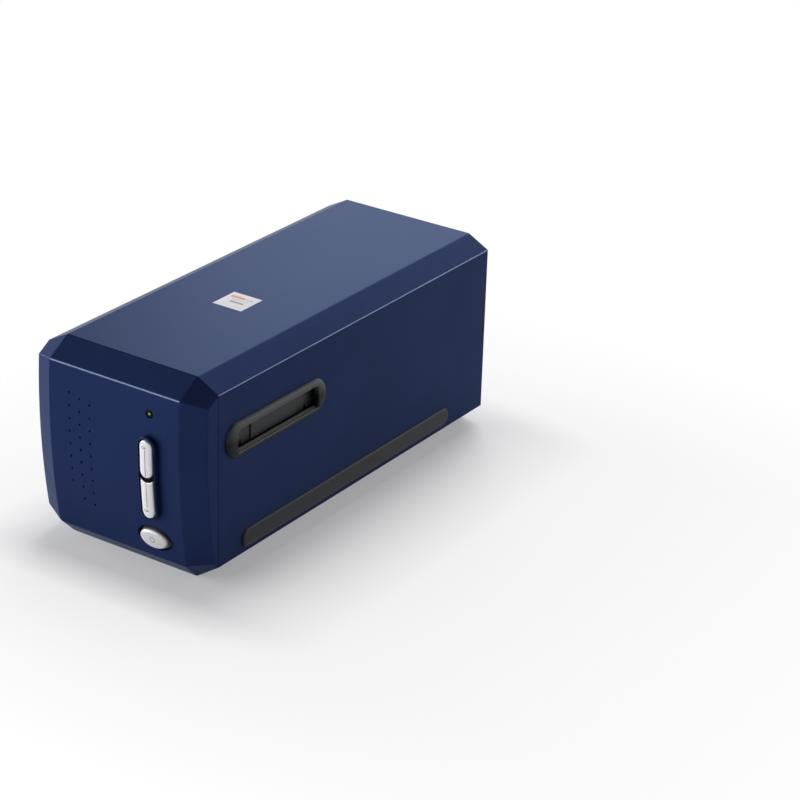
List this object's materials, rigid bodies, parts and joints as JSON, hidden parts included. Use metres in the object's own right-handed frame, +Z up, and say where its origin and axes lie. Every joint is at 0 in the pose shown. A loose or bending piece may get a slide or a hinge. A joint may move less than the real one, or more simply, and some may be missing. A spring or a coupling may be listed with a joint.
{
  "type": "film negative scanner",
  "caption": "Desktop film scanner with a bulged control face, sprung oval and pill buttons, a film slot with swinging dust doors and a sliding optical carriage.",
  "frame": {"origin": "on the table, under the middle of the whole object", "axes": "+Z up, the face with the buttons towards -Y, the film slot runs along X"},
  "size_m": [0.12, 0.276, 0.1185],
  "materials": {
    "casing_blue": "satin, faintly metallic",
    "bezel_grey": "satin",
    "strip_grey": "fine matte",
    "door_grey": "fine matte",
    "button_silver": "satin silver",
    "lens_green": "clear moulded",
    "label_white": "matte",
    "plate_silver": "satin",
    "rubber_black": "matte",
    "board_green": "solder mask",
    "black_plastic": "matte",
    "steel": "bright",
    "screw_steel": "blackened",
    "brass": "turned",
    "white_plastic": "moulded",
    "mirror": "polished",
    "lens_glass": "coated",
    "chip_black": "glossy",
    "diffuser_white": "opal"
  },
  "bodies": {
    "case": {"top_cover": "casing_blue", "bottom_tray": "casing_blue", "front_bezel": "casing_blue", "rear_panel": "casing_blue", "rubber_feet": "rubber_black", "rating_plate": "plate_silver", "top_label": "label_white", "slot_bezel_right": "bezel_grey", "slot_bezel_left": "bezel_grey", "side_strip_right": "strip_grey", "side_strip_left": "strip_grey", "indicator_lens": "lens_green", "button_board": "board_green", "button_switches": "black_plastic", "film_channel_lower": "black_plastic", "film_channel_upper": "black_plastic", "holder_springs": "steel", "door_springs": "steel", "guide_rods": "steel", "rod_clamps": "black_plastic", "main_board": "board_green", "board_parts": "black_plastic", "usb_socket": "steel", "power_jack": "black_plastic", "stepper_motor": "steel", "motor_bracket": "steel", "gear_axles": "steel", "drive_belt": "rubber_black", "idler_bracket": "steel", "idler_spring": "steel", "home_sensor": "black_plastic", "ribbon_cable": "white_plastic", "case_screws": "screw_steel", "rear_screws": "screw_steel", "inner_screws": "screw_steel", "door_pin_right": "steel", "door_pin_left": "steel"},
    "carriage": {"carriage_frame": "black_plastic", "carriage_cover": "black_plastic", "rod_bushes": "brass", "carriage_mirror": "mirror", "lens_barrel": "black_plastic", "lens_glass": "lens_glass", "sensor_board": "board_green", "sensor_chip": "chip_black", "lamp_column": "black_plastic", "lamp_house": "black_plastic", "lamp_board": "white_plastic", "lamp_diffuser": "diffuser_white", "carriage_screws": "screw_steel"},
    "upper_key": {"scan_button_upper": "button_silver"},
    "lower_key": {"scan_button_lower": "button_silver"},
    "power_key": {"power_button": "button_silver"},
    "right_door": {"dust_door_right": "door_grey"},
    "left_door": {"dust_door_left": "door_grey"},
    "pinion": {"motor_pinion": "brass"},
    "reducer": {"reduction_gear": "white_plastic"},
    "drive_wheel": {"drive_pulley": "white_plastic"},
    "idler_wheel": {"idler_pulley": "white_plastic"}
  },
  "joints": [
    {"name": "upper_key_press", "type": "slide", "parent": "case", "child": "upper_key", "axis": [0, 1, 0], "range_m": [0, 0.0008], "stiffness_N_per_m": 1200, "springref_m": -0.0004},
    {"name": "lower_key_press", "type": "slide", "parent": "case", "child": "lower_key", "axis": [0, 1, 0], "range_m": [0, 0.0008], "stiffness_N_per_m": 1200, "springref_m": -0.0004},
    {"name": "power_key_press", "type": "slide", "parent": "case", "child": "power_key", "axis": [0, 1, 0], "range_m": [0, 0.0008], "stiffness_N_per_m": 1200, "springref_m": -0.0004},
    {"name": "right_door_swing", "type": "hinge", "parent": "case", "child": "right_door", "pos_m": [0.0546, -0.0684, 0.0872], "axis": [0, 1, 0], "range_deg": [-56, 80], "stiffness_Nm_per_rad": 0.002},
    {"name": "left_door_swing", "type": "hinge", "parent": "case", "child": "left_door", "pos_m": [-0.0546, -0.0684, 0.0872], "axis": [0, 1, 0], "range_deg": [-80, 56], "stiffness_Nm_per_rad": 0.002},
    {"name": "carriage_slide", "type": "slide", "parent": "case", "child": "carriage", "axis": [0, 1, 0], "range_m": [-0.028, 0]},
    {"name": "drive_wheel_spin", "type": "hinge", "parent": "case", "child": "drive_wheel", "pos_m": [0, 0.104, 0.012], "axis": [0, 0, 1], "range_deg": [-250, 5]},
    {"name": "idler_wheel_spin", "type": "hinge", "parent": "case", "child": "idler_wheel", "pos_m": [0, -0.094, 0.01], "axis": [0, 0, 1], "range_deg": [-250, 5]},
    {"name": "reducer_spin", "type": "hinge", "parent": "case", "child": "reducer", "pos_m": [-0.01615, 0.11332, 0.017], "axis": [0, 0, 1], "range_deg": [-5, 1065]},
    {"name": "pinion_spin", "type": "hinge", "parent": "case", "child": "pinion", "pos_m": [-0.0313, 0.11332, 0.02], "axis": [0, 0, 1], "range_deg": [-4245, 10]}
  ],
  "couplings": [
    {"joint": "drive_wheel_spin", "follows": "carriage_slide", "rad_per_m": 153.85},
    {"joint": "idler_wheel_spin", "follows": "carriage_slide", "rad_per_m": 153.85},
    {"joint": "reducer_spin", "follows": "carriage_slide", "rad_per_m": -659.34},
    {"joint": "pinion_spin", "follows": "carriage_slide", "rad_per_m": 2637.4}
  ]
}
